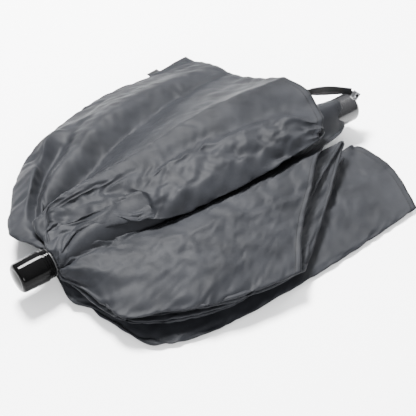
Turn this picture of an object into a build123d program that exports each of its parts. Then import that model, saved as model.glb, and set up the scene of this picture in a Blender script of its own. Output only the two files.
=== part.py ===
from build123d import *
from math import asin, cos, degrees, hypot, pi, radians, sin, tan
import os

# Compact studio umbrella, folded up loosely and lying on its side.
# Millimetres, +Z up. The surface it lies on is Z = 0 and the shaft runs along +X, from the crown
# to the handle. The origin is on the surface, under the middle of the folded cloth.

# Driving dimensions
axis_z = 26.0            # height of the shaft's axis
crown_x = -170.0         # back of the crown, where the cloth gathers
rib_count = 8
pivot_r = 7.8            # rib hinge, from the shaft's axis
pivot_x = crown_x + 8.0
inner_rib_length = 240.0
stretcher_length = 110.0
middle_rib_length = 110.0
outer_rib_length = 150.0
elbow_r = 12.5           # first elbow, from the axis
knee_r = 13.5            # second elbow
tip_r = 12.6
bar_width = 1.2          # across the plane of the rib
bar_height = 2.4
pin_r = 0.5
pin_hole_r = 0.56
wire_hole_r = 0.64
lane_pitch = 1.5         # sideways step between bars that lie beside each other

top_tube_r = 6.0         # 12, 10 and 8 mm telescoping tubes
mid_tube_r = 5.0
lower_tube_r = 4.0
tube_wall = 0.55
slip = 0.05              # radial running clearance of a tube in its bush

cap_r = 14.0
handle_r = 14.0
strap_width = 6.5
strap_thickness = 1.4

axis_plane = Plane(origin=(0, 0, axis_z), x_dir=(0, 1, 0), z_dir=(1, 0, 0))
os.makedirs("parts", exist_ok=True)


def save(piece, name):
    piece.part.label = name
    export_step(piece.part, f"parts/{name}.step")


def turned(points):
    """A solid turned about the shaft's axis from its half profile of (x, radius) points."""
    with BuildPart() as piece:
        with BuildSketch(Plane.XZ.offset(0)):
            with BuildLine():
                Polyline([(x, axis_z + r) for x, r in points], close=True)
            make_face()
        revolve(axis=Axis((0, 0, axis_z), (1, 0, 0)))
    return piece


def tube(start, end, outer, inner):
    """A plain tube along the shaft."""
    with BuildPart() as piece:
        with BuildSketch(axis_plane.offset(start)):
            Circle(outer)
            Circle(inner, mode=Mode.SUBTRACT)
        extrude(amount=end - start)
    return piece


def ring_wire(x, radius, wire):
    """A hinge wire bent into a ring about the shaft."""
    with BuildPart() as piece:
        with BuildSketch(Plane.XZ):
            with Locations((x, axis_z + radius)):
                Circle(wire)
        revolve(axis=Axis((0, 0, axis_z), (1, 0, 0)))
    return piece


def rib_plane(index):
    """The plane of one rib: local x runs along the shaft, local y outwards."""
    angle = 2 * pi * (index + 0.5) / rib_count
    return Plane(
        origin=(0, 0, axis_z),
        x_dir=(1, 0, 0),
        z_dir=(0, -sin(angle), cos(angle)),
    )


def bar(plane, lane, start, end, start_hole, end_hole):
    """A flat bar with an eye at each end, from one (x, radius) to another. A hole of 0 is solid."""
    run, rise = end[0] - start[0], end[1] - start[1]
    tilt = degrees(asin(rise / hypot(run, rise))) * (1 if run > 0 else -1)
    side = lane * lane_pitch - lane_pitch / 2 - bar_width / 2
    with BuildPart() as piece:
        with BuildSketch(plane.offset(side)):
            with Locations(Location(((start[0] + end[0]) / 2, (start[1] + end[1]) / 2, 0), (0, 0, tilt))):
                SlotCenterToCenter(hypot(run, rise), bar_height)
            for place, hole in ((start, start_hole), (end, end_hole)):
                if hole:
                    with Locations(place):
                        Circle(hole, mode=Mode.SUBTRACT)
        extrude(amount=bar_width)
    return piece


def with_pins(piece, plane, lane, places):
    """A bar with rivets that stand out of it and go through the bars in the next lane."""
    side = lane * lane_pitch - lane_pitch / 2
    with BuildPart() as pinned:
        add(piece.part)
        with BuildSketch(plane.offset(side)):
            with Locations(*places):
                Circle(pin_r)
        extrude(amount=lane_pitch + bar_width / 2 + 0.1)
    return pinned


# Crown: a domed cap, a ribbed collar, the notched hinge ring and its wire
dome_r = 36.0
rim_r = 9.6
rim_x = crown_x - 22 + dome_r - (dome_r**2 - rim_r**2) ** 0.5
with BuildPart() as crown_cap:
    with BuildSketch(Plane.XZ):
        with BuildLine():
            Polyline(
                (crown_x - 22, axis_z),
                (crown_x + 4, axis_z),
                (crown_x + 4, axis_z + cap_r),
                (crown_x - 17, axis_z + cap_r - 0.6),
            )
            ThreePointArc(
                (crown_x - 17, axis_z + cap_r - 0.6),
                (crown_x - 19.8, axis_z + cap_r - 1.8),
                (rim_x, axis_z + rim_r),
            )
            ThreePointArc(
                (rim_x, axis_z + rim_r),
                (crown_x - 22 + dome_r - (dome_r**2 - rim_r**2 / 4) ** 0.5, axis_z + rim_r / 2),
                (crown_x - 22, axis_z),
            )
        make_face()
    revolve(axis=Axis((0, 0, axis_z), (1, 0, 0)))
    with BuildSketch(axis_plane.offset(crown_x - 12)):
        Circle(top_tube_r)
    extrude(amount=16, mode=Mode.SUBTRACT)
    with BuildSketch(axis_plane.offset(crown_x - 19)):
        Circle(1.5)
    extrude(amount=7, mode=Mode.SUBTRACT)
save(crown_cap, "crown_cap")

crown_screw = turned(
    [
        (crown_x - 18, 0),
        (crown_x - 18, 1.5),
        (crown_x - 12, 1.5),
        (crown_x - 12, 3.0),
        (crown_x - 10.2, 2.2),
        (crown_x - 10.2, 0),
    ]
)
save(crown_screw, "crown_screw")

collar_start = crown_x + 4
ridges = []
for step in range(3):
    base = collar_start + 2.4 * step
    ridges += [(base, 12.4), (base + 0.5, 13.2), (base + 1.3, 13.2), (base + 1.8, 12.4)]
cap_collar = turned(
    [(collar_start, top_tube_r)] + ridges + [(collar_start + 7.2, 12.0), (collar_start + 7.2, 10.9),
     (collar_start + 0.8, 10.9), (collar_start + 0.8, top_tube_r)]
)
save(cap_collar, "cap_collar")

notch_blank = turned(
    [(crown_x + 5, top_tube_r), (crown_x + 5, 10.2), (crown_x + 10.5, 10.2), (crown_x + 12.5, 8.6),
     (crown_x + 12.5, top_tube_r)]
)
wire_groove = ring_wire(pivot_x, hypot(pivot_r, lane_pitch / 2), pin_hole_r)
with BuildPart() as crown_notch:
    add(notch_blank.part)
    add(wire_groove.part, mode=Mode.SUBTRACT)
    for index in range(rib_count):
        with BuildSketch(rib_plane(index).offset(-lane_pitch / 2 - bar_width / 2 - 0.15)):
            with Locations((pivot_x, pivot_r + 1.1)):
                Rectangle(14, 5.2)
        extrude(amount=bar_width + 0.3, mode=Mode.SUBTRACT)
save(crown_notch, "crown_notch")
notch_wire = ring_wire(pivot_x, hypot(pivot_r, lane_pitch / 2), pin_r)
save(notch_wire, "notch_wire")

washer_x = crown_x + 11.4
save(tube(washer_x, washer_x + 0.9, 12.8, 10.4), "cloth_washer")

# Shaft: three tubes, pushed together, with a bush at each mouth and a spring catch on each slide
tube_end = crown_x + 262
save(tube(crown_x - 10, tube_end, top_tube_r, top_tube_r - tube_wall), "top_tube")
save(tube(tube_end - 12, tube_end, top_tube_r - tube_wall, mid_tube_r + slip), "top_bush")
mid_end = tube_end + 8
save(tube(crown_x + 22, mid_end, mid_tube_r, mid_tube_r - tube_wall), "mid_tube")
save(tube(mid_end - 12, mid_end, mid_tube_r - tube_wall, lower_tube_r + slip), "mid_bush")
handle_start = crown_x + 299
save(tube(crown_x + 46, handle_start + 34, lower_tube_r, lower_tube_r - tube_wall), "lower_tube")


def spring_catch(x, reach, inside):
    """A bent leaf spring inside a tube, its nose pressed in by the tube around it."""
    with BuildPart() as piece:
        with BuildSketch(Plane.XZ.offset(-1.2)):
            with BuildLine():
                Polyline(
                    (x, axis_z - inside), (x + 16, axis_z - inside), (x + 16, axis_z - inside + 0.5),
                    (x + 0.6, axis_z - inside + 0.5), (x + 0.6, axis_z), (x + 8, axis_z + reach - 0.5),
                    (x + 11, axis_z + reach - 0.5), (x + 11, axis_z + reach), (x + 7.6, axis_z + reach),
                    (x, axis_z + 0.3),
                    close=True,
                )
            make_face()
        extrude(amount=2.4)
    return piece


save(spring_catch(crown_x + 24, 4.2, 4.05), "mid_catch")
save(spring_catch(crown_x + 48, 3.2, 3.1), "lower_catch")

# Runner: a sleeve on the top tube, with the stretchers' ring and wire
runner_pivot_x = pivot_x + 2 * stretcher_length
runner_pivot_r = 8.5
runner_blank = turned(
    [
        (runner_pivot_x - 5, top_tube_r + slip),
        (runner_pivot_x - 5, 9.4),
        (runner_pivot_x - 3.5, 10.2),
        (runner_pivot_x + 2.5, 10.2),
        (runner_pivot_x + 4, 7.6),
        (runner_pivot_x + 22, 7.6),
        (runner_pivot_x + 23, 8.6),
        (runner_pivot_x + 25, 8.6),
        (runner_pivot_x + 25, top_tube_r + slip),
    ]
)
stretcher_side = lane_pitch / 2
runner_ring_r = hypot(runner_pivot_r, stretcher_side)
runner_groove = ring_wire(runner_pivot_x, runner_ring_r, pin_hole_r)
with BuildPart() as runner:
    add(runner_blank.part)
    add(runner_groove.part, mode=Mode.SUBTRACT)
    for index in range(rib_count):
        with BuildSketch(rib_plane(index).offset(stretcher_side - bar_width / 2 - 0.15)):
            with Locations((runner_pivot_x, runner_pivot_r + 0.4)):
                Rectangle(16, 4.4)
        extrude(amount=bar_width + 0.3, mode=Mode.SUBTRACT)
save(runner, "runner")
save(ring_wire(runner_pivot_x, runner_ring_r, pin_r), "runner_wire")

# Ribs: each folds in three, and lies in its own plane through the shaft
elbow_x = pivot_x + (inner_rib_length**2 - (elbow_r - pivot_r) ** 2) ** 0.5
joint_x = pivot_x + stretcher_length
joint_r = pivot_r + (elbow_r - pivot_r) * stretcher_length / inner_rib_length
knee_x = elbow_x - middle_rib_length
tip_x = knee_x + outer_rib_length

for index in range(rib_count):
    plane = rib_plane(index)
    number = index + 1
    inner_bar = bar(plane, 0, (pivot_x, pivot_r), (elbow_x, elbow_r), wire_hole_r, 0)
    inner_rib = with_pins(inner_bar, plane, 0, [(elbow_x, elbow_r), (joint_x, joint_r)])
    save(inner_rib, f"inner_rib_{number}")

    stretcher_end = (runner_pivot_x - 1.2, runner_pivot_r)
    stretcher_bar = bar(plane, 1, (joint_x, joint_r), stretcher_end, pin_hole_r, 0)
    with BuildPart() as stretcher:
        add(stretcher_bar.part)
        with BuildSketch(plane.offset(stretcher_side - bar_width / 2)):
            with Locations((runner_pivot_x - 0.4, runner_pivot_r)):
                SlotCenterToCenter(2.4, 3.0)
                SlotCenterToCenter(2.0, 1.5, mode=Mode.SUBTRACT)
        extrude(amount=bar_width)
        with BuildSketch(plane.offset(stretcher_side - bar_width / 2)):
            with Locations((runner_pivot_x - 0.4, runner_pivot_r)):
                SlotCenterToCenter(2.0, 1.5)
        extrude(amount=bar_width, mode=Mode.SUBTRACT)
    save(stretcher, f"stretcher_{number}")

    middle_bar = bar(plane, 1, (elbow_x, elbow_r), (knee_x, knee_r), pin_hole_r, 0)
    middle_rib = with_pins(middle_bar, plane, 1, [(knee_x, knee_r)])
    save(middle_rib, f"middle_rib_{number}")

    outer_bar = bar(plane, 2, (knee_x, knee_r), (tip_x, tip_r), pin_hole_r, 0)
    with BuildPart() as outer_rib:
        add(outer_bar.part)
        with Locations(plane.offset(stretcher_side + lane_pitch) * Location((tip_x, tip_r, 0))):
            Sphere(1.6)
    save(outer_rib, f"outer_rib_{number}")

# Handle: a cup-mouthed grip on a core, closed by a rounded end with a lug for the wrist strap
seam_x = handle_start + 44
save(
    turned(
        [
            (handle_start, 11.6), (handle_start, 13.2), (handle_start + 3, handle_r),
            (seam_x, handle_r), (seam_x, 7.0), (handle_start + 9, 7.0), (handle_start + 9, 11.6),
        ]
    ),
    "handle_grip",
)
handle_core = turned(
    [
        (handle_start + 9, lower_tube_r), (handle_start + 9, 7.0), (seam_x + 2, 7.0), (seam_x + 2, 1.5),
        (handle_start + 34, 1.5), (handle_start + 34, lower_tube_r),
    ]
)
save(handle_core, "handle_core")
end_x = crown_x + 356
with BuildPart() as handle_cap:
    with BuildSketch(Plane.XZ):
        with BuildLine():
            Polyline((seam_x, axis_z + 7.05), (seam_x, axis_z + handle_r), (end_x - 5, axis_z + handle_r))
            RadiusArc((end_x - 5, axis_z + handle_r), (end_x, axis_z + handle_r - 5), 5)
            Polyline(
                (end_x, axis_z + handle_r - 5), (end_x, axis_z), (seam_x + 2, axis_z),
                (seam_x + 2, axis_z + 7.05), (seam_x, axis_z + 7.05),
            )
        make_face()
    revolve(axis=Axis((0, 0, axis_z), (1, 0, 0)))
    with BuildSketch(axis_plane.offset(seam_x)):
        Circle(1.5)
    extrude(amount=8, mode=Mode.SUBTRACT)
save(handle_cap, "handle_cap")
handle_screw = turned(
    [
        (handle_start + 31.5, 0), (handle_start + 31.5, 3.2), (handle_start + 34, 3.2),
        (handle_start + 34, 1.5), (seam_x + 7, 1.5), (seam_x + 7, 0),
    ]
)
save(handle_screw, "handle_screw")

# Lug: a small square eye on the rim of the end cap, turned a quarter so a corner points up
lug_side = 8.0
lug_centre = (end_x + 3.6, 0, axis_z + handle_r - 3.4)
lug_plane = Plane(origin=lug_centre, x_dir=(1, 0, 1), z_dir=(0, -1, 0))
with BuildPart() as strap_lug:
    with BuildSketch(lug_plane.offset(-2.0)):
        RectangleRounded(lug_side, lug_side, 0.8)
        Circle(2.4, mode=Mode.SUBTRACT)
    extrude(amount=4.0)
    add(handle_cap.part, mode=Mode.SUBTRACT)
save(strap_lug, "strap_lug")

# Wrist strap: webbing sewn into a loop, from the lug down to the surface and back onto itself
strap_route = [
    (lug_centre[0], 2.0, lug_centre[2]),
    (186.5, 9.0, 38.0),
    (182.0, 19.0, 33.5),
    (180.5, 37.0, 22.0),
    (180.5, 58.0, 9.0),
    (174.0, 74.0, 2.2),
    (160.0, 83.0, 1.9),
    (143.0, 85.0, 1.9),
    (130.0, 76.0, 1.9),
    (129.0, 61.0, 1.9),
    (142.0, 52.0, 2.4),
    (160.0, 52.0, 8.0),
    (172.0, 49.0, 19.0),
    (174.5, 32.0, 31.5),
    (178.0, 17.0, 40.5),
    (185.5, 8.5, 41.6),
]
strap_tube_r = (strap_width * strap_thickness / pi) ** 0.5
corners = [Vector(*place) for place in strap_route]
radii = []
for before, here, after in zip(corners, corners[1:], corners[2:]):
    turn = radians((here - before).get_angle(after - here))
    shorter = min((here - before).length, (after - here).length)
    radii.append(0.45 * shorter / tan(turn / 2))
with BuildPart() as wrist_strap:
    with BuildLine() as strap_line:
        FilletPolyline(*strap_route, radius=radii)
    with BuildSketch(Plane(origin=strap_line.line @ 0, z_dir=strap_line.line % 0)):
        Circle(strap_tube_r)
    sweep(path=strap_line.line)
strap_length = sum(edge.length for edge in strap_line.edges())
print("strap length", round(strap_length, 1))
save(wrist_strap, "wrist_strap")

# Canopy: the folded cloth as one closed heap with the frame's hollow along the shaft.
# Each section across the shaft is a closed curve through (y, z) points, front edge first.
canopy_start = crown_x + 12.5
sections = [
    (canopy_start, [(-14, 26), (-10, 15), (0, 11), (11, 15), (15, 27), (10, 38), (0, 42), (-10, 38)]),
    (crown_x + 32, [(-98, 8), (-60, -5), (0, -6), (62, -5), (96, 16), (66, 42), (8, 50), (-60, 32)]),
    (crown_x + 70, [(-122, 8), (-80, -6), (0, -8), (90, -6), (138, 17), (104, 44), (20, 56), (-66, 42)]),
    (crown_x + 140, [(-134, 9), (-90, -6), (0, -8), (100, -6), (162, 18), (118, 46), (25, 60), (-72, 46)]),
    (crown_x + 220, [(-134, 9), (-90, -6), (0, -8), (105, -6), (166, 20), (120, 44), (30, 64), (-72, 44)]),
    (crown_x + 290, [(-130, 9), (-90, -6), (0, -8), (100, -6), (160, 18), (112, 38), (28, 66), (-70, 38)]),
    (crown_x + 344, [(-124, 7), (-90, -6), (0, -8), (60, -6), (90, 8), (60, 16), (20, 22), (-70, 16)]),
]
hem_outline = [
    (canopy_start - 1, -175), (crown_x + 316, -175), (crown_x + 328, -122), (crown_x + 338, -90),
    (crown_x + 341, -56), (crown_x + 324, -33), (crown_x + 297, -22), (crown_x + 294, 50),
    (crown_x + 290, 120), (crown_x + 272, 190), (canopy_start - 1, 190),
]
hollow = [
    (canopy_start - 1, 11.2), (crown_x + 60, 18.0), (crown_x + 110, 21.6), (crown_x + 250, 22.4),
    (crown_x + 292.5, 22.8),
]
tongue_in, tongue_out = 15.2, 17.2      # the tongue of cloth that lies over the handle
with BuildPart() as canopy:
    for place, outline in sections:
        with BuildSketch(Plane(origin=(place, 0, 0), x_dir=(0, 1, 0), z_dir=(1, 0, 0))):
            with BuildLine():
                Spline(*outline, periodic=True)
            make_face()
    loft()
    with BuildSketch(Plane.XY):
        with BuildLine():
            Polyline(*hem_outline, close=True)
        make_face()
    extrude(amount=90, mode=Mode.INTERSECT)
    with BuildSketch(Plane.XZ):
        with BuildLine():
            Polyline(
                (canopy_start - 1, axis_z), *[(x, axis_z + r) for x, r in hollow],
                (crown_x + 345, axis_z + hollow[-1][1]), (crown_x + 345, axis_z), close=True,
            )
        make_face()
    revolve(axis=Axis((0, 0, axis_z), (1, 0, 0)), mode=Mode.SUBTRACT)
    for start, end, outer in ((crown_x + 292.5, crown_x + 296, 25), (crown_x + 295, crown_x + 342, tongue_out)):
        with BuildSketch(axis_plane.offset(start)):
            Circle(outer)
            Circle(tongue_in, mode=Mode.SUBTRACT)
            with Locations((0, -outer)):
                Rectangle(2 * outer, 2 * outer, mode=Mode.SUBTRACT)
        extrude(amount=end - start)
save(canopy, "canopy")

# Tie strap: a short webbing tab sewn to the back edge of the cloth
tie_strap_z = 15.0
with BuildPart() as tie_strap:
    with BuildSketch(Plane.XY.offset(tie_strap_z)):
        with Locations((crown_x + 240, 169)):
            RectangleRounded(13, 16, 1.5)
    extrude(amount=strap_thickness)
    add(canopy.part, mode=Mode.SUBTRACT)
save(tie_strap, "tie_strap")
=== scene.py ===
import math

import bpy
import numpy as np
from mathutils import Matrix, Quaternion, Vector, noise


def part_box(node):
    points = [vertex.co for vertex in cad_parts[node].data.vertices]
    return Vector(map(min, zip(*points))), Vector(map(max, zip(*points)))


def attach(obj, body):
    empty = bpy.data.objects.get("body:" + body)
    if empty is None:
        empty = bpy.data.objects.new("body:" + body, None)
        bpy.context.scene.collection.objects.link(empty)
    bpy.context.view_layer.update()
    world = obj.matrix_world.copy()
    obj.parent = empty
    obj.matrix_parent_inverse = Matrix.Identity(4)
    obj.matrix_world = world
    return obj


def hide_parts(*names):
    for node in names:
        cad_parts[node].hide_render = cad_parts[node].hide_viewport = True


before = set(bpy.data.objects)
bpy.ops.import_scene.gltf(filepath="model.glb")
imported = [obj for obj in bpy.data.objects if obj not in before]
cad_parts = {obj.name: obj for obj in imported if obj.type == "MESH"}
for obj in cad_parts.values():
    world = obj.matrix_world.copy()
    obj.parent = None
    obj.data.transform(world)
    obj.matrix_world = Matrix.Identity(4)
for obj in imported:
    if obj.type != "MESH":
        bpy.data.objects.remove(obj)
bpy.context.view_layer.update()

MM = 0.001
CAP_LAP = 4.0                                       # how far the cap's rim reaches past the crown's back
CROWN_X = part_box("crown_cap")[1][0] / MM - CAP_LAP  # back of the crown
AXIS_Z = sum(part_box("crown_cap")[i][2] for i in (0, 1)) / 2 / MM


def link(obj):
    bpy.context.scene.collection.objects.link(obj)
    return obj


# ---------------------------------------------------------------- camera
VIEW_AZIMUTH, VIEW_ELEVATION = -36.14, 44.0
VIEW_DISTANCE = 0.9788
FIELD_OF_VIEW = 21.51
VIEW_ROLL = -1.2
TARGET = Vector((-0.0099, -0.0260, 0.0220))


def make_camera():
    a, e = math.radians(VIEW_AZIMUTH), math.radians(VIEW_ELEVATION)
    back = Vector((math.sin(a) * math.cos(e), -math.cos(a) * math.cos(e), math.sin(e)))
    camera = bpy.data.objects.new("camera", bpy.data.cameras.new("camera"))
    camera.data.angle = math.radians(FIELD_OF_VIEW)
    camera.location = TARGET + back * VIEW_DISTANCE
    roll = Quaternion((0, 0, 1), math.radians(VIEW_ROLL))
    camera.rotation_euler = (back.to_track_quat("Z", "Y") @ roll).to_euler()
    bpy.context.scene.camera = link(camera)


make_camera()


# ---------------------------------------------------------------- material helpers
def new_material(name):
    material = bpy.data.materials.new(name)
    material.use_nodes = True
    return material, material.node_tree, material.node_tree.nodes["Principled BSDF"]


def node(tree, kind, **values):
    made = tree.nodes.new("ShaderNode" + kind)
    for key, value in values.items():
        if hasattr(made, key):
            setattr(made, key, value)
        else:
            made.inputs[key.replace("_", " ")].default_value = value
    return made


def noise_at(tree, scale, detail=3.0, stretch=(1, 1, 1)):
    """Noise in the piece's own space, so that it stays on the piece as it moves."""
    place = node(tree, "TexCoord")
    mapping = node(tree, "Mapping")
    mapping.inputs["Scale"].default_value = stretch
    made = node(tree, "TexNoise", Scale=scale, Detail=detail)
    tree.links.new(place.outputs["Object"], mapping.inputs["Vector"])
    tree.links.new(mapping.outputs["Vector"], made.inputs["Vector"])
    return made.outputs["Fac"]


def ramp(tree, source, low, high, start=0.0, end=1.0):
    made = node(tree, "ValToRGB")
    made.color_ramp.elements[0].position = start
    made.color_ramp.elements[1].position = end
    made.color_ramp.elements[0].color = (*low, 1)
    made.color_ramp.elements[1].color = (*high, 1)
    tree.links.new(source, made.inputs["Fac"])
    return made.outputs["Color"]


def spread(tree, source, low, high):
    made = node(tree, "MapRange")
    made.inputs["To Min"].default_value = low
    made.inputs["To Max"].default_value = high
    tree.links.new(source, made.inputs["Value"])
    return made.outputs["Result"]


def bump(tree, shader, source, strength, distance, below=None):
    made = node(tree, "Bump", Strength=strength, Distance=distance)
    tree.links.new(source, made.inputs["Height"])
    if below:
        tree.links.new(below.outputs["Normal"], made.inputs["Normal"])
    tree.links.new(made.outputs["Normal"], shader.inputs["Normal"])
    return made


def hard(name, low, high, rough, metallic=0.0, grain=60.0, depth=0.00004, stretch=(1, 1, 1), shine=0.5):
    """A hard material: mottled colour and gloss, and a fine grain in its surface."""
    material, tree, shader = new_material(name)
    tone = ramp(tree, noise_at(tree, grain * 0.4, 4, stretch), low, high, 0.3, 0.7)
    tree.links.new(tone, shader.inputs["Base Color"])
    tree.links.new(spread(tree, noise_at(tree, grain, 5, stretch), *rough), shader.inputs["Roughness"])
    shader.inputs["Metallic"].default_value = metallic
    shader.inputs["Specular IOR Level"].default_value = shine
    bump(tree, shader, noise_at(tree, grain * 12, 3, stretch), 0.25, depth)
    return material


def nylon(name, low, high, hem_width):
    """Dull satin nylon. The UV is in metres, with V from the hem: rows of stitches run beside it."""
    material, tree, shader = new_material(name)
    uv = node(tree, "UVMap", uv_map="cloth")
    split = node(tree, "SeparateXYZ")
    tree.links.new(uv.outputs["UV"], split.inputs["Vector"])
    tone = ramp(tree, noise_at(tree, 38, 5), low, high, 0.32, 0.68)
    stitch = stitches(tree, split, (hem_width * 0.18, hem_width * 0.86), 0.0028)
    mix = node(tree, "Mix", data_type="RGBA")
    tree.links.new(stitch, mix.inputs["Factor"])
    tree.links.new(tone, mix.inputs["A"])
    mix.inputs["B"].default_value = (*[c * 0.35 for c in low], 1)
    tree.links.new(mix.outputs["Result"], shader.inputs["Base Color"])
    tree.links.new(spread(tree, noise_at(tree, 90, 4), 0.50, 0.66), shader.inputs["Roughness"])
    shader.inputs["Sheen Weight"].default_value = 0.02
    shader.inputs["Sheen Roughness"].default_value = 0.38
    shader.inputs["Specular IOR Level"].default_value = 0.085
    creases = bump(tree, shader, crinkle(tree), 0.5, 0.0011)
    weave = node(tree, "TexWave", Scale=420.0, Distortion=0.4)
    tree.links.new(uv.outputs["UV"], weave.inputs["Vector"])
    cloth = bump(tree, shader, weave.outputs["Fac"], 0.18, 0.00012, creases)
    sunk = node(tree, "Math", operation="SUBTRACT")
    sunk.inputs[0].default_value = 1.0
    tree.links.new(stitch, sunk.inputs[1])
    bump(tree, shader, sunk.outputs[0], 0.8, 0.0006, cloth)
    return material


def crinkle(tree):
    """Fine creases: the edges of large soft cells, broken up by noise."""
    place = node(tree, "TexCoord")
    warp = node(tree, "TexNoise", Scale=26.0, Detail=4.0)
    add = node(tree, "VectorMath", operation="MULTIPLY_ADD")
    add.inputs[1].default_value = (0.05, 0.05, 0.05)
    cells = node(tree, "TexVoronoi", feature="SMOOTH_F1", Scale=34.0, Smoothness=0.35)
    tree.links.new(place.outputs["Object"], warp.inputs["Vector"])
    tree.links.new(warp.outputs["Color"], add.inputs[0])
    tree.links.new(place.outputs["Object"], add.inputs[2])
    tree.links.new(add.outputs["Vector"], cells.inputs["Vector"])
    return cells.outputs["Distance"]


def stitches(tree, split, rows, pitch):
    """1 on the threads of some rows of stitches at these distances from the hem, 0 elsewhere."""
    along = node(tree, "Math", operation="PINGPONG")
    along.inputs[1].default_value = pitch / 2
    tree.links.new(split.outputs["X"], along.inputs[0])
    thread = node(tree, "Math", operation="GREATER_THAN")
    thread.inputs[1].default_value = pitch * 0.14
    tree.links.new(along.outputs[0], thread.inputs[0])
    total = None
    for row in rows:
        near = node(tree, "Math", operation="COMPARE")
        near.inputs[1].default_value = row
        near.inputs[2].default_value = 0.00035
        tree.links.new(split.outputs["Y"], near.inputs[0])
        both = node(tree, "Math", operation="MULTIPLY")
        tree.links.new(near.outputs[0], both.inputs[0])
        tree.links.new(thread.outputs[0], both.inputs[1])
        if total is None:
            total = both.outputs[0]
            continue
        added = node(tree, "Math", operation="MAXIMUM")
        tree.links.new(total, added.inputs[0])
        tree.links.new(both.outputs[0], added.inputs[1])
        total = added.outputs[0]
    return total


def webbing(name):
    """Narrow woven tape, with ribs across it. Its colour has painted shade in the grooves between the ribs:
    darker where they are low, lighter on their crests.
    """
    material, tree, shader = new_material(name)
    uv = node(tree, "UVMap", uv_map="tape")
    ribs = node(tree, "TexWave", Scale=300.0, Distortion=0.3, bands_direction="X")
    tree.links.new(uv.outputs["UV"], ribs.inputs["Vector"])
    # painted shade: the colour follows the ribs' height, darker in the grooves between them and lighter on
    # their crests
    tone = ramp(tree, ribs.outputs["Fac"], (0.003, 0.003, 0.0033), (0.010, 0.010, 0.011))
    tree.links.new(tone, shader.inputs["Base Color"])
    tree.links.new(spread(tree, noise_at(tree, 200, 4), 0.55, 0.8), shader.inputs["Roughness"])
    shader.inputs["Specular IOR Level"].default_value = 0.15
    bump(tree, shader, ribs.outputs["Fac"], 0.6, 0.0003)
    return material


HEM_WIDTH = 0.007
CLOTH = nylon("black_nylon", (0.0062, 0.0067, 0.0082), (0.0112, 0.0119, 0.0141), HEM_WIDTH)
TAPE = webbing("black_webbing")
GLOSS = hard(
    "gloss_black_plastic", (0.0015, 0.0015, 0.0015), (0.003, 0.003, 0.0033), (0.05, 0.11), shine=0.05,
)
GRIP = hard("handle_black_plastic", (0.006, 0.006, 0.0065), (0.012, 0.012, 0.013), (0.16, 0.28))
NYLON_PART = hard("moulded_black_nylon", (0.010, 0.010, 0.011), (0.018, 0.018, 0.02), (0.42, 0.6))
BLACK_TUBE = hard(
    "black_painted_tube",
    (0.008, 0.008, 0.009), (0.02, 0.02, 0.02), (0.2, 0.38), 0.2, 90, stretch=(0.1, 1, 1),
)
PLATED = hard(
    "nickel_plated_steel",
    (0.5, 0.49, 0.47), (0.66, 0.65, 0.63), (0.14, 0.3), 1.0, 120, stretch=(0.06, 1, 1),
)
ZINC = hard("zinc_plated_steel", (0.34, 0.35, 0.36), (0.55, 0.56, 0.58), (0.25, 0.45), 1.0, 150)
RIB_STEEL = hard(
    "coated_rib_steel",
    (0.012, 0.012, 0.013), (0.05, 0.05, 0.05), (0.28, 0.5), 0.6, 140, stretch=(0.15, 1, 1),
)
LUG_PLATE = hard(
    "brushed_lug_metal",
    (0.035, 0.035, 0.037), (0.08, 0.08, 0.084), (0.35, 0.5), 1.0, 220, stretch=(1, 1, 0.2),
)

FINISHES = [
    (("crown_cap", "cap_collar"), GLOSS),
    (("handle_grip", "handle_cap"), GRIP),
    (("cloth_washer", "crown_notch", "runner", "handle_core", "top_bush", "mid_bush"), NYLON_PART),
    (("crown_screw", "handle_screw", "notch_wire", "runner_wire", "mid_catch", "lower_catch"), ZINC),
    (("top_tube",), BLACK_TUBE),
    (("mid_tube", "lower_tube"), PLATED),
    (("inner_rib", "stretcher", "middle_rib", "outer_rib"), RIB_STEEL),
    (("strap_lug",), LUG_PLATE),
    (("canopy", "tie_strap", "wrist_strap"), TAPE),
]


def finish_for(name):
    for starts, material in FINISHES:
        if name.startswith(starts):
            return material
    raise KeyError(name)


for name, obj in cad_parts.items():
    obj.data.materials.clear()
    obj.data.materials.append(finish_for(name))

# ---------------------------------------------------------------- wrist strap
STRAP_WIDTH, STRAP_THICKNESS = 0.0065, 0.0014
STRAP_ROUTE = [
    (0.1896, 0.0020, 0.0366),
    (0.1865, 0.0090, 0.0380),
    (0.1820, 0.0190, 0.0335),
    (0.1805, 0.0370, 0.0220),
    (0.1805, 0.0580, 0.0090),
    (0.1740, 0.0740, 0.0014),
    (0.1600, 0.0830, 0.0010),
    (0.1430, 0.0850, 0.0010),
    (0.1300, 0.0760, 0.0010),
    (0.1290, 0.0610, 0.0010),
    (0.1420, 0.0520, 0.0016),
    (0.1600, 0.0520, 0.0080),
    (0.1720, 0.0490, 0.0190),
    (0.1745, 0.0320, 0.0315),
    (0.1785, 0.0165, 0.0400),
    (0.1886, 0.0042, 0.0398),
]


def spline_points(route, resolution=10):
    """Places along the smooth NURBS line with the route's points as its control points."""
    curve = bpy.data.curves.new("route", "CURVE")
    curve.dimensions = "3D"
    spline = curve.splines.new("NURBS")
    spline.points.add(len(route) - 1)
    for point, place in zip(spline.points, route):
        point.co = (*place, 1)
    spline.order_u = 3
    spline.use_endpoint_u = True
    spline.resolution_u = resolution
    holder = link(bpy.data.objects.new("route", curve))
    mesh = bpy.data.meshes.new_from_object(holder)
    places = [vertex.co.copy() for vertex in mesh.vertices]
    bpy.data.objects.remove(holder)
    bpy.data.meshes.remove(mesh)
    return places


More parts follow.
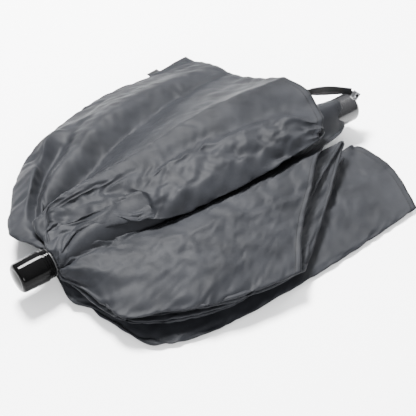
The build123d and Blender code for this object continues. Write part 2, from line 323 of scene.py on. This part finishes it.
def tape_mesh(name, places, width_directions, width, thickness):
    """A woven tape along some places: flat faces, a raised selvage along each edge, round edges."""
    half, thick = width / 2, thickness / 2
    profile = [
        (-half, 0), (-half * 0.94, thick * 0.75), (-half * 0.84, thick), (-half * 0.72, thick * 0.78),
        (0, thick * 0.82), (half * 0.72, thick * 0.78), (half * 0.84, thick), (half * 0.94, thick * 0.75),
    ]
    profile += [(-across, -up) for across, up in profile]
    vertices, faces, uv = [], [], []
    count = len(profile)
    travelled = 0.0
    for i, place in enumerate(places):
        ahead = places[min(i + 1, len(places) - 1)] - places[max(i - 1, 0)]
        across = width_directions[i] - ahead.normalized() * width_directions[i].dot(ahead.normalized())
        across.normalize()
        up = ahead.normalized().cross(across)
        if i:
            travelled += (place - places[i - 1]).length
        for a, u in profile:
            vertices.append(place + across * a + up * u)
            uv.append((travelled, a))
    for i in range(len(places) - 1):
        for j in range(count):
            k = (j + 1) % count
            faces.append((i * count + j, i * count + k, (i + 1) * count + k, (i + 1) * count + j))
    faces.append(tuple(reversed(range(count))))
    faces.append(tuple(range((len(places) - 1) * count, len(places) * count)))
    mesh = bpy.data.meshes.new(name)
    mesh.from_pydata(vertices, [], faces)
    layer = mesh.uv_layers.new(name="tape")
    for loop in mesh.loops:
        layer.data[loop.index].uv = uv[loop.vertex_index]
    mesh.polygons.foreach_set("use_smooth", [True] * len(mesh.polygons))
    mesh.materials.append(TAPE)
    return link(bpy.data.objects.new(name, mesh))


TURN_ENDS, TURN_HEIGHT = 0.014, 0.012     # the tape turns flat over this height, above the floor


def strap_directions(places):
    """On edge at the lug, so that its face is to the side, and flat where it lies on the floor."""
    directions = []
    for i, place in enumerate(places):
        ahead = places[min(i + 1, len(places) - 1)] - places[max(i - 1, 0)]
        flat = Vector((-ahead.y, ahead.x, 0)).normalized()
        lying = min(1.0, max(0.0, (TURN_ENDS - place.z) / TURN_HEIGHT))
        lying = lying * lying * (3 - 2 * lying)
        directions.append(Vector((0, 0, 1)) * (1 - lying) - flat * lying)
    return directions


def make_wrist_strap():
    places = spline_points(STRAP_ROUTE)
    strap = tape_mesh("wrist_strap_tape", places, strap_directions(places), STRAP_WIDTH, STRAP_THICKNESS)
    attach(strap, "handle_shaft")
    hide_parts("wrist_strap")


make_wrist_strap()

# ---------------------------------------------------------------- canopy
# The cloth is one sheet, gathered round the crown and folded into flaps. Each line below runs from
# the crown to the hem along a fold's edge, a valley between two folds or the middle of a panel.
# It gives the angle at which it leaves the crown, how softly the cloth turns over it, how crumpled
# it is (below 0 it is held firmly), and points in millimetres: along the shaft from the crown,
# across it, and up. The lines go round the shaft from underneath, by the near side, the top and
# the far side.
RING_R = 11.9            # the cloth leaves the crown at this radius
RING_X = 13.5            # and this far behind the crown's back
LINES = [
    ("under", -90, 1.0, 0.2, [(50, -4, 3), (120, -6, 2.5), (200, -8, 2.5), (288, -8, 4)]),
    ("a_low", -100, 1.0, 0.2, [(32, -44, 2), (110, -75, 1.4), (220, -75, 1.4), (318, -62, 1.4)]),
    ("a_edge", -108, 0.5, 0.3, [
        (9, -32, 8), (17, -47, 6), (32, -98, 4.5), (46, -117, 4), (97, -131, 3.5), (190, -134, 3.5),
        (262, -132, 3.5), (320, -128, 4),
    ]),
    ("a_up", -116, 1.0, 0.4, [(40, -62, 9), (120, -88, 9), (230, -90, 10), (338, -76, 9)]),
    ("a_valley", -122, 0.6, 0.3, [(42, -26, 11), (110, -32, 11), (210, -34, 12), (328, -34, 13)]),
    ("i_low", -123.5, 1.0, 0.2, [(40, -56, 11.5), (100, -86, 12), (170, -92, 12), (262, -76, 12)]),
    ("i_edge", -125, 0.5, 0.2, [(26, -68, 12), (44, -96, 12.5), (104, -122, 12.5), (196, -122, 12.5)]),
    ("i_up", -126, 1.0, 0.2, [(40, -54, 13.5), (100, -84, 13.5), (170, -90, 13.5), (262, -72, 13.5)]),
    ("i_valley", -127.5, 0.6, 0.2, [(42, -20, 14), (110, -26, 14), (210, -28, 14.5), (306, -28, 15)]),
    ("j_low", -129, 1.0, 0.2, [(40, -54, 15.5), (100, -84, 15.5), (170, -92, 15.5), (250, -74, 15.5)]),
    ("j_edge", -132, 0.5, 0.2, [(26, -68, 16), (44, -96, 16), (104, -122, 15.5), (190, -124, 14.5)]),
    ("j_up", -137, 1.0, 0.2, [(40, -52, 17), (100, -80, 17), (180, -88, 17), (250, -70, 17)]),
    ("j_valley", -142, 0.6, 0.3, [(42, -24, 18), (110, -30, 19), (210, -34, 20), (306, -30, 21)]),
    ("f_low", -147, 1.0, 0.3, [(38, -50, 17), (90, -84, 18), (150, -100, 18), (238, -86, 18)]),
    ("f_edge", -152, 0.5, 0.4, [
        (18, -40, 17), (27, -80, 18), (58, -100, 18), (122, -127, 18), (184, -133, 15),
    ]),
    ("f_up", -157, 1.0, 0.4, [(40, -46, 21), (100, -74, 22), (180, -90, 22), (260, -78, 21)]),
    ("b_valley", -162, 0.6, 0.3, [(44, -22, 25), (110, -28, 28), (210, -34, 32), (312, -38, 29)]),
    ("b_low", -168, 1.0, 0.3, [(36, -48, 23), (88, -80, 24), (160, -100, 25), (222, -88, 29)]),
    ("b_edge", -175, 0.4, 0.3, [
        (11, -20, 22), (19, -42, 23), (27, -87, 25), (56, -103, 25), (91, -121, 25), (127, -131, 25),
        (174, -138, 24),
    ]),
    ("b_mid", -183, 1.0, 0.5, [(26, -30, 34), (70, -74, 35), (120, -98, 36), (202, -106, 31)]),
    ("b_up", -192, 1.0, 0.6, [(34, -10, 36), (70, -30, 37), (120, -58, 43), (240, -74, 37)]),
    ("b_top", -200, 0.8, 0.4, [
        (28, 4, 32), (60, -8, 32), (100, -28, 35), (180, -44, 41), (274, -46, 41),
    ]),
    ("t_near", -206, 0.7, -2.0, [
        (50, -20, 27), (120, -25, 30), (240, -27, 33), (298, -23, 30), (332, -16.5, 21),
    ]),
    ("t_top", -212, 1.0, -2.0, [
        (50, -4, 45), (120, -4, 49.5), (240, -4, 50.5), (298, -3, 48), (336, -2, 43),
    ]),
    ("t_far", -220, 0.5, -2.0, [
        (50, 19, 36), (120, 24, 37), (240, 26, 38), (298, 20, 37), (333, 16.5, 27),
    ]),
    ("t_back", -226, 1.0, -2.0, [(50, 2, 47.5), (120, 2, 51.5), (240, 2, 53), (297, 4, 51)]),
    ("c_tuck", -232, 0.6, 0.3, [
        (34, 6, 38), (70, -10, 40), (120, -22, 44), (200, -32, 46), (290, -32, 48),
    ]),
    ("c_under", -238, 0.6, 0.8, [
        (12, 8, 39), (16, 15, 41), (31, 19, 43), (62, 5, 46), (97, -27, 44), (125, -36, 42),
        (152, -39, 43), (178, -42, 45), (225, -43, 47), (279, -41, 49),
    ]),
    ("c_front", -245, 1.0, 1.6, [
        (24, 20, 44), (56, 10, 49), (84, 0, 50), (99, -13, 42), (112, -22, 50), (140, -24, 56),
        (190, -26, 58), (240, -30, 59), (278, -40, 55),
    ]),
    ("c_crest", -250, 0.8, 1.8, [
        (16, 38, 39), (36, 35, 45), (58, 31, 49), (86, 24, 50), (112, 12, 56), (145, 8, 62),
        (178, 5, 64), (215, 0, 65), (242, -5, 65), (264, -13, 64), (292, -30, 58),
    ]),
    ("c_groove", -255, 0.8, 0.7, [
        (32, 38, 44), (60, 36, 47), (92, 30, 50), (137, 18, 56), (186, 17, 59), (225, 13, 60),
        (252, 9, 59), (280, 2, 58), (302, -8, 56),
    ]),
    ("c_top", -260, 1.0, 0.4, [
        (36, 40, 45), (64, 39, 49), (104, 32, 54), (150, 30, 59), (200, 28, 63), (256, 26, 65),
        (305, 14, 63),
    ]),
    ("d_ridge", -265, 0.35, 0.2, [
        (38, 43, 44), (66, 43, 50), (100, 42, 53), (140, 40, 58), (171, 42, 62), (205, 43, 65),
        (256, 38, 68), (298, 36, 66),
    ]),
    ("d_back", -270, 0.8, 0.3, [(40, 46, 40), (90, 48, 45), (140, 52, 51), (200, 56, 57), (295, 52, 58)]),
    ("d_slope", -276, 1.0, 0.4, [
        (44, 48, 36), (92, 58, 38), (150, 72, 42), (220, 84, 43), (292, 82, 41),
    ]),
    ("d_valley", -283, 0.5, 0.4, [
        (30, 46, 31), (49, 51, 30), (87, 66, 30), (130, 84, 32), (178, 98, 33), (233, 110, 33),
        (291, 112, 30),
    ]),
    ("e_soft", -290, 1.0, 0.5, [
        (46, 64, 36), (84, 90, 41), (150, 118, 42), (220, 130, 38), (290, 138, 26),
    ]),
    ("h_valley", -297, 0.6, 0.4, [
        (32, 56, 28), (62, 94, 23), (90, 116, 23), (116, 128, 32), (170, 146, 32), (286, 152, 22),
    ]),
    ("h_ridge", -304, 0.35, 0.3, [
        (20, 50, 36), (38, 76, 37), (55, 97, 37), (84, 128, 36), (99, 138, 33), (130, 146, 27),
        (190, 161, 24), (282, 160, 20),
    ]),
    ("e_edge", -312, 0.5, 0.4, [
        (0, 40, 30), (3, 54, 27), (12, 72, 24), (38, 108, 22), (66, 134, 21), (108, 155, 19),
        (168, 171, 18), (228, 170, 18), (278, 172, 20),
    ]),
    ("e_low", -322, 1.0, 0.2, [
        (34, 60, 12), (80, 112, 13), (150, 140, 13), (210, 144, 13), (272, 140, 13),
    ]),
    ("k_valley", -330, 0.6, 0.2, [(46, 26, 12), (120, 32, 12), (200, 36, 12), (288, 30, 12)]),
    ("k_up", -336, 1.0, 0.2, [(40, 60, 10), (100, 100, 10), (190, 110, 10), (276, 104, 10)]),
    ("k_edge", -342, 0.5, 0.2, [(22, 66, 9), (50, 108, 8), (120, 148, 8), (200, 155, 8), (266, 150, 8)]),
    ("k_low", -350, 1.0, 0.2, [(40, 56, 6), (110, 98, 6), (190, 106, 6), (274, 98, 6)]),
    ("g_valley", -357, 0.6, 0.2, [(46, 22, 6), (120, 28, 6), (200, 30, 6), (286, 26, 7)]),
    ("g_up", -364, 1.0, 0.2, [(44, 46, 4.5), (100, 80, 4.5), (190, 84, 4.5), (272, 78, 4.5)]),
    ("g_edge", -372, 0.5, 0.2, [(28, 62, 4), (58, 104, 3), (130, 140, 3), (200, 146, 3), (262, 140, 3)]),
    ("g_low", -392, 1.0, 0.2, [(44, 50, 1.8), (110, 84, 1.4), (190, 86, 1.4), (270, 80, 1.4)]),
]
CELL = 4.6               # spacing of the columns of the mesh, round the shaft
FINER = 0.8              # how much closer they are where the cloth is crumpled
ROWS = 76                # from crown to hem
# The solid that the cloth falls on, and the room that the ribs need when they flare: distance
# from the crown and radius.
CORE = [(15, 11.4), (60, 18.4), (110, 22.0), (250, 22.8), (294, 23.0), (298, 14.8), (346, 14.8)]
RIB_ROOM = [(15, 12.0), (60, 19.0), (110, 22.6), (250, 23.4), (292, 23.8)]
RIB_MARGIN = 3.0         # layers this much inside or outside that room are squeezed to make way
SQUEEZE = 0.35
HOLLOWS = [
    # x, y, only above this height, half length, half width, turn, depth
    (96, -4, 38, 17, 9, -20, 11),
    (70, 118, 24, 20, 9, 75, 8),
]
HOLLOW_STEEP = 0.7       # below 1 the hollow has a flatter bottom and steeper sides
HOLLOW_FADE = 4          # it starts over this much height
PINNED_ROWS = 2          # rows of the mesh at the crown that don't move
CROWN_HOLD = 0.7
CROWN_HOLD_DROP = 0.1    # for each row away from the crown
SMOOTH_HOLD = 0.60       # pull back to the modelled folds, on the smooth panels
LOOSE_HOLD = 0.11        # and on the crumpled ones
HOLD_DROP = 0.20         # less hold for each unit of crumple
GROWTH = 0.04            # of its own size, so that it buckles
SETTLE_FRAMES = 12       # after these it has buckled and not yet gone flat
HELD_LENGTH = 30         # near the crown the cloth is held, and has no waves or creases of its own
LIFT_STRETCH = (0.45, 1, 1)     # slow waves, longer along the shaft
LIFT_SIZE, LIFT_SEED, LIFT_HEIGHT = 24, 1, 1.2
CREASES = [(27, 2, 2.1), (12, 3, 1.0)]      # size, seed, height
LOWEST = 0.6             # height of the middle of the cloth above the floor
SHEET_THICKNESS = 0.00035
HEM_THICKNESS = 0.0011


def through(points, count):
    """Points evenly spaced along a smooth curve through the given ones."""
    p = np.array(points, float)
    p = np.vstack([2 * p[0] - p[1], p, 2 * p[-1] - p[-2]])
    t = np.linspace(0, 1, 24, endpoint=False)[:, None]
    spans = []
    for a, b, c, d in zip(p, p[1:], p[2:], p[3:]):
        square, cube = 2 * a - 5 * b + 4 * c - d, 3 * b - a - 3 * c + d
        spans.append(0.5 * (2 * b + (c - a) * t + square * t**2 + cube * t**3))
    line = np.vstack(spans + [p[-2:-1]])
    far = np.concatenate([[0], np.cumsum(np.linalg.norm(np.diff(line, axis=0), axis=1))])
    want = np.linspace(0, far[-1], count)
    return np.column_stack([np.interp(want, far, line[:, i]) for i in range(3)])


def fold_lines():
    lines = []
    for name, angle, softness, crumple, points in LINES:
        a = math.radians(angle)
        start = (RING_X, RING_R * math.cos(a), AXIS_Z + RING_R * math.sin(a))
        lines.append(through([start] + points, ROWS + 1))
    return np.array(lines)


def canopy_grid():
    """The sheet's places, first round the shaft, then from crown to hem, and how crumpled each column is."""
    lines = fold_lines()
    softness = np.array([line[2] for line in LINES])[:, None, None]
    count = len(lines)
    before, after = np.roll(lines, 1, axis=0), np.roll(lines, -1, axis=0)
    near = np.linalg.norm(lines - before, axis=2, keepdims=True)
    far = np.linalg.norm(after - lines, axis=2, keepdims=True)
    tangent = (after - before) / (near + far + 1e-6) * softness
    rings, crumple = [], []
    for j in range(count):
        k = (j + 1) % count
        width = np.linalg.norm(lines[k] - lines[j], axis=1, keepdims=True)
        cell = CELL - FINER * max(0.0, LINES[j][3] + LINES[k][3] - 1.0)
        steps = max(3, int(round(float(width.mean()) / cell)))
        for t in np.linspace(0, 1, steps, endpoint=False):
            h00, h10 = 2 * t**3 - 3 * t**2 + 1, t**3 - 2 * t**2 + t
            h01, h11 = -2 * t**3 + 3 * t**2, t**3 - t**2
            leaving = h00 * lines[j] + h10 * width * tangent[j]
            rings.append(leaving + h01 * lines[k] + h11 * width * tangent[k])
            crumple.append((1 - t) * LINES[j][3] + t * LINES[k][3])
    return np.array(rings), np.array(crumple)


def normals_of(grid):
    around = np.roll(grid, -1, axis=0) - np.roll(grid, 1, axis=0)
    along = np.gradient(grid, axis=1)
    normal = np.cross(around, along)
    return normal / (np.linalg.norm(normal, axis=2, keepdims=True) + 1e-9)


def distance_down(grid):
    steps = np.linalg.norm(np.diff(grid, axis=1), axis=2)
    return np.concatenate([np.zeros((len(grid), 1)), np.cumsum(steps, axis=1)], axis=1)


PLEATS = [(96, 0.9, 16, 0.0), (58, 1.3, 34, 1.1), (33, 1.6, 70, 2.3)]   # count, height, reach, phase
PLEATS_START = 5         # they rise from nothing over this distance
PLEAT_SWAY = 0.35
SWAY_LENGTH = 31


def gathers(grid):
    """Pleats round the crown, fine at the ring and wider and shallower away from it."""
    down = distance_down(grid)
    column = np.arange(len(grid))[:, None]
    total = len(grid)
    depth = np.zeros_like(down)
    for waves, height, reach, phase in PLEATS:
        sway = PLEAT_SWAY * np.sin(down / SWAY_LENGTH + phase)
        depth += height * np.sin(2 * np.pi * waves * column / total + sway + phase) * (
            np.minimum(1, down / PLEATS_START) * np.exp(-down / reach)
        )
    return grid + normals_of(grid) * depth[..., None]


def field(grid, size, seed, ridged=False):
    """Smooth or ridged noise at each place, with features of about this size in millimetres."""
    shift = Vector((seed * 17.3, seed * 5.1, seed * 9.7))
    values = np.empty(grid.shape[:2])
    for i, ring in enumerate(grid):
        for j, place in enumerate(ring):
            where = Vector(place) / size + shift
            if ridged:
                values[i, j] = 1 - 2 * abs(noise.noise(where)) - abs(noise.noise(where * 2.1))
            else:
                values[i, j] = noise.noise(where)
    return values


NEXT_COLUMN = (1, 2)     # the corners of a quad that lie on the next column


def grid_mesh(name, grid):
    """A closed band of quads from an array of places in millimetres from the crown."""
    around, along = grid.shape[:2]
    places = grid.reshape(-1, 3).copy()
    places[:, 0] += CROWN_X
    index = np.arange(around * along).reshape(around, along)
    over = np.roll(index, -1, axis=0)
    quads = np.stack([index[:, :-1], over[:, :-1], over[:, 1:], index[:, 1:]], axis=-1).reshape(-1, 4)
    mesh = bpy.data.meshes.new(name)
    mesh.from_pydata((places * MM).tolist(), [], quads.tolist())
    mesh.polygons.foreach_set("use_smooth", [True] * len(mesh.polygons))
    obj = link(bpy.data.objects.new(name, mesh))
    layer = mesh.uv_layers.new(name="cloth")
    widths = np.linalg.norm(np.roll(grid, -1, axis=0) - grid, axis=2)[:, -1]
    u = np.concatenate([[0], np.cumsum(widths)])
    down = distance_down(grid)
    v = down[:, -1:] - down
    for face, corner in enumerate(quads):
        column = face // (along - 1)
        for side, vertex in enumerate(corner):
            i, j = divmod(int(vertex), along)
            beside = 1 if side in NEXT_COLUMN else 0
            layer.data[face * 4 + side].uv = (u[column + beside] * MM, v[i, j] * MM)
    return obj


def turned_solid(name, profile, segments=48):
    """A temporary solid for the cloth to fall on, turned about the shaft."""
    vertices, faces = [], []
    for x, r in profile:
        for k in range(segments):
            a = 2 * math.pi * k / segments
            vertices.append(((CROWN_X + x) * MM, r * math.cos(a) * MM, (AXIS_Z + r * math.sin(a)) * MM))
    for i in range(len(profile) - 1):
        for k in range(segments):
            n = (k + 1) % segments
            faces.append((i * segments + k, i * segments + n, (i + 1) * segments + n, (i + 1) * segments + k))
    mesh = bpy.data.meshes.new(name)
    mesh.from_pydata(vertices, [], faces)
    return link(bpy.data.objects.new(name, mesh))


def settle(obj, rows, crumple, frames=SETTLE_FRAMES):
    """Let the cloth buckle and sag a little: it grows slightly, its crown stays held."""
    slab = bpy.data.meshes.new("slab")
    slab.from_pydata([(-1, -1, 0), (1, -1, 0), (1, 1, 0), (-1, 1, 0)], [], [(0, 1, 2, 3)])
    helpers = [
        link(bpy.data.objects.new("slab", slab)),
        turned_solid("core", CORE),
    ]
    for helper in helpers:
        helper.modifiers.new("stop", "COLLISION")
        helper.collision.thickness_outer = 0.0006
        helper.collision.cloth_friction = 12
    held = obj.vertex_groups.new(name="held")
    along = rows + 1
    for i, loose in enumerate(crumple):
        hold = max(LOOSE_HOLD, SMOOTH_HOLD - HOLD_DROP * float(loose))
        for j in range(along):
            weight = 1.0 if j < PINNED_ROWS else max(hold, CROWN_HOLD - CROWN_HOLD_DROP * j)
            held.add([i * along + j], weight, "REPLACE")
    cloth = obj.modifiers.new("settle", "CLOTH")
    made = cloth.settings
    made.quality = 5
    made.mass = 0.12
    made.tension_stiffness = 12
    made.compression_stiffness = 12
    made.shear_stiffness = 4
    made.bending_stiffness = 0.35
    made.air_damping = 2
    made.vertex_group_mass = "held"
    made.pin_stiffness = 1.0
    made.shrink_min = -GROWTH
    made.effector_weights.gravity = 0.35
    cloth.collision_settings.distance_min = 0.0008
    cloth.collision_settings.use_self_collision = True
    cloth.collision_settings.self_distance_min = 0.0008
    cloth.collision_settings.self_friction = 8
    cloth.collision_settings.collision_quality = 3
    scene = bpy.context.scene
    cloth.point_cache.frame_start, cloth.point_cache.frame_end = 1, frames
    for number in range(1, frames + 1):
        scene.frame_set(number)
    solved = obj.evaluated_get(bpy.context.evaluated_depsgraph_get()).to_mesh()
    places = np.empty(len(solved.vertices) * 3)
    solved.vertices.foreach_get("co", places)
    obj.modifiers.remove(cloth)
    obj.vertex_groups.remove(held)
    for helper in helpers:
        bpy.data.objects.remove(helper)
    scene.frame_set(1)
    obj.data.vertices.foreach_set("co", places)
    obj.data.update()
    return places.reshape(-1, along, 3) / MM - np.array([CROWN_X, 0, 0])


def clear_of_ribs(grid):
    """Keep the cloth outside the room that the flaring ribs need. Layers near its edge keep their order."""
    x, y, z = grid[..., 0], grid[..., 1], grid[..., 2] - AXIS_Z
    r = np.hypot(y, z) + 1e-6
    room = np.interp(x, *zip(*RIB_ROOM))
    low, high = room - RIB_MARGIN, room + RIB_MARGIN
    wanted = np.interp((r - low) / (high - low), [0, 1], [SQUEEZE, 1]) * (high - low) + low
    outside = np.where(r < high, np.maximum(wanted, room), r)
    outside = np.where((x > RIB_ROOM[0][0]) & (x < RIB_ROOM[-1][0]), outside, r)
    grid[..., 1], grid[..., 2] = y * outside / r, z * outside / r + AXIS_Z
    return grid


def pressed(grid):
    """Push the upper layer in at the places where the photo shows a dark hollow."""
    for x, y, above, along, across, turn, depth in HOLLOWS:
        a = math.radians(turn)
        dx, dy = grid[..., 0] - x, grid[..., 1] - y
        u = (dx * math.cos(a) + dy * math.sin(a)) / along
        v = (dy * math.cos(a) - dx * math.sin(a)) / across
        inside = np.clip(1 - u**2 - v**2, 0, 1) ** HOLLOW_STEEP
        push = inside * np.clip((grid[..., 2] - above) / HOLLOW_FADE, 0, 1)
        grid[..., 2] -= depth * push
    return grid


def make_canopy():
    grid, crumple = canopy_grid()
    grid = gathers(grid)
    down = distance_down(grid)
    free = np.minimum(1, down / HELD_LENGTH)
    lift = field(grid * np.array(LIFT_STRETCH), LIFT_SIZE, LIFT_SEED) * LIFT_HEIGHT * free
    grid = grid + normals_of(grid) * lift[..., None]
    obj = grid_mesh("cloth_canopy", grid)
    grid = settle(obj, ROWS, crumple)
    rough = np.maximum(crumple, 0)[:, None] * free
    creases = sum(field(grid, size, seed, ridged=True) * height * rough for size, seed, height in CREASES)
    grid = grid + normals_of(grid) * creases[..., None]
    grid = clear_of_ribs(pressed(grid))
    grid[..., 2] = np.maximum(grid[..., 2], LOWEST)
    places = grid.reshape(-1, 3) + np.array([CROWN_X, 0, 0])
    obj.data.vertices.foreach_set("co", (places * MM).ravel())
    obj.data.update()
    hem = obj.vertex_groups.new(name="hem")
    length = grid.shape[1]
    for i in range(len(grid)):
        for j in (length - 1, length - 2):
            hem.add([i * length + j], 1.0, "REPLACE")
    subdivide = obj.modifiers.new("smooth", "SUBSURF")
    subdivide.levels = subdivide.render_levels = 1
    solid = obj.modifiers.new("thickness", "SOLIDIFY")
    solid.thickness = HEM_THICKNESS
    solid.offset = 0
    solid.vertex_group = "hem"
    solid.thickness_vertex_group = SHEET_THICKNESS / HEM_THICKNESS
    obj.data.materials.append(CLOTH)
    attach(obj, "crown_and_cloth")
    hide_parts("canopy")
    return obj


canopy = make_canopy()

# ---------------------------------------------------------------- tie strap
TAB_TUCK = 0.006         # how far it reaches in under the cloth
TAB_PLACES = 9
TAB_LIFT, TAB_BOW = 0.0007, 0.0012
TAB_ACROSS = (1, 0.08, 0.06)
TAB_THICKNESS = 0.0012


def make_tie_strap():
    """The end of the strap that wraps the rolled umbrella: webbing, bowed up a little."""
    low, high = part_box("tie_strap")
    middle = (low[0] + high[0]) / 2
    places = []
    start = low[1] - TAB_TUCK
    for step in range(TAB_PLACES):
        t = step / (TAB_PLACES - 1)
        height = low[2] + TAB_LIFT + TAB_BOW * math.sin(3 * t)
        places.append(Vector((middle, start + t * (high[1] - start), height)))
    across = [Vector(TAB_ACROSS)] * TAB_PLACES
    return tape_mesh("tie_strap_tab", places, across, high[0] - low[0], TAB_THICKNESS)


tab = make_tie_strap()
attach(tab, "crown_and_cloth")
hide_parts("tie_strap")


# ---------------------------------------------------------------- stage
FLOOR_REACH = 6.0
AIM = Vector((0, 0, 0.03))
LIGHTS = [
    # name, place, size and power: a key high behind it, for the creases, and two weak ones
    ("key", (0.15, 0.8, 1.55), 0.45, 215),
    ("fill", (-0.8, -1.6, 0.75), 0.6, 60),
    ("side", (1.5, 0.4, 1.0), 0.7, 30),
]


def make_stage():
    mesh = bpy.data.meshes.new("floor")
    reach = FLOOR_REACH
    corners = [(-reach, -reach, 0), (reach, -reach, 0), (reach, reach, 0), (-reach, reach, 0)]
    mesh.from_pydata(corners, [], [(0, 1, 2, 3)])
    floor = link(bpy.data.objects.new("floor", mesh))
    material, tree, shader = new_material("white_sweep")
    tone = ramp(tree, noise_at(tree, 3), (0.93, 0.93, 0.935), (0.96, 0.96, 0.96))
    tree.links.new(tone, shader.inputs["Base Color"])
    shader.inputs["Roughness"].default_value = 0.7
    floor.data.materials.append(material)
    world = bpy.data.worlds.new("world")
    world.use_nodes = True
    tree = world.node_tree
    up = node(tree, "SeparateXYZ")
    tree.links.new(node(tree, "TexCoord").outputs["Generated"], up.inputs["Vector"])
    sky = ramp(tree, up.outputs["Z"], (0.35, 0.355, 0.36), (1.3, 1.32, 1.35), 0.05, 0.85)
    tree.links.new(sky, tree.nodes["Background"].inputs["Color"])
    bpy.context.scene.world = world
    for name, place, size, power in LIGHTS:
        light = bpy.data.lights.new(name, "AREA")
        light.size, light.energy = size, power
        obj = link(bpy.data.objects.new(name, light))
        obj.location = place
        obj.rotation_euler = (Vector(place) - AIM).to_track_quat("Z", "Y").to_euler()


make_stage()
